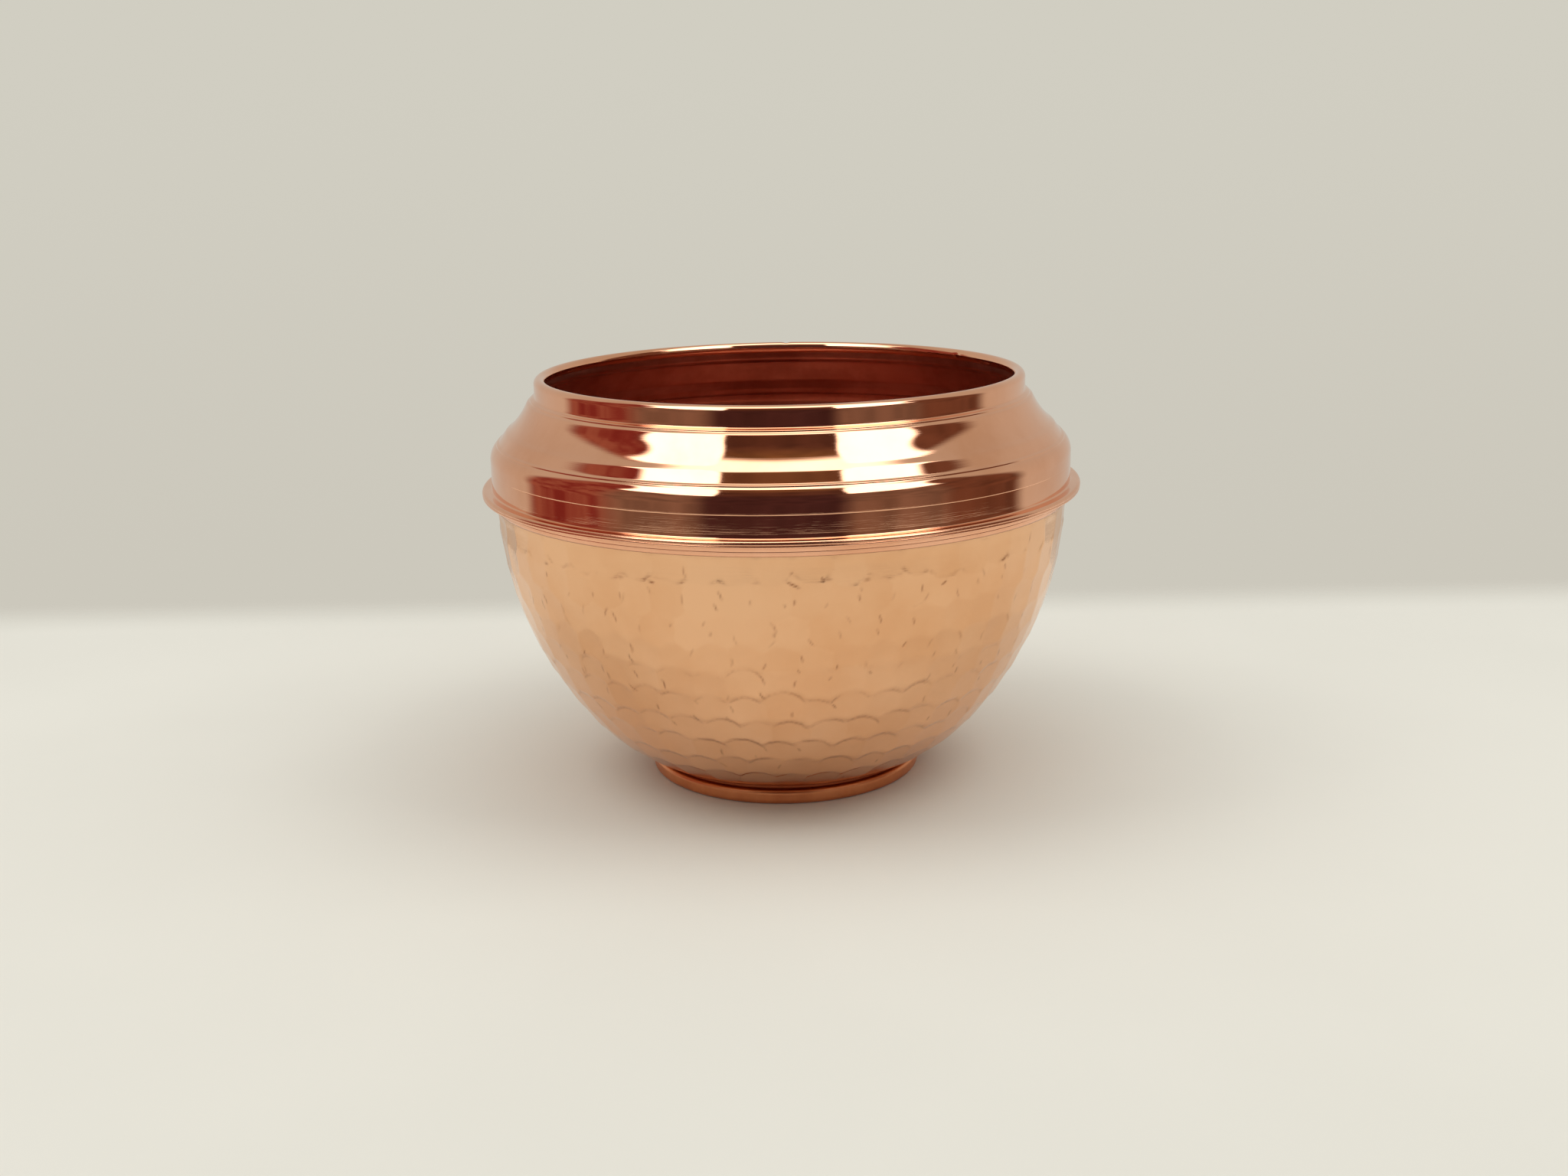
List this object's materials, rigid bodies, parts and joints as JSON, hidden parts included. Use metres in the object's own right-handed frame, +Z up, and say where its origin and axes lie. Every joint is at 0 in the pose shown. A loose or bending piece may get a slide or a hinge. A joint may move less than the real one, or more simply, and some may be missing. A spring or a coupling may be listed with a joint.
{
  "type": "hammered footed bowl",
  "caption": "Round hammered copper bowl on a low foot ring, with a polished stepped shoulder, folded seam bead and rolled rim.",
  "frame": {"origin": "centre of the foot ring, on the surface that the bowl stands on", "axes": "+Z up along the axis that every piece is turned about; the bowl has no front"},
  "size_m": [0.25, 0.25, 0.171],
  "materials": {
    "hammered_copper": "satin planished copper outside, dark oxidised inside",
    "polished_copper": "mirror-polished spun copper outside, dark oxidised inside",
    "iron_wire": "drawn wire",
    "foot_copper": "satin copper",
    "solder": "dull tin solder"
  },
  "bodies": {
    "root": {"hammered_bowl": "hammered_copper", "polished_shoulder": "polished_copper", "rim_wire": "iron_wire", "foot_ring": "foot_copper", "foot_solder": "solder"}
  },
  "joints": []
}
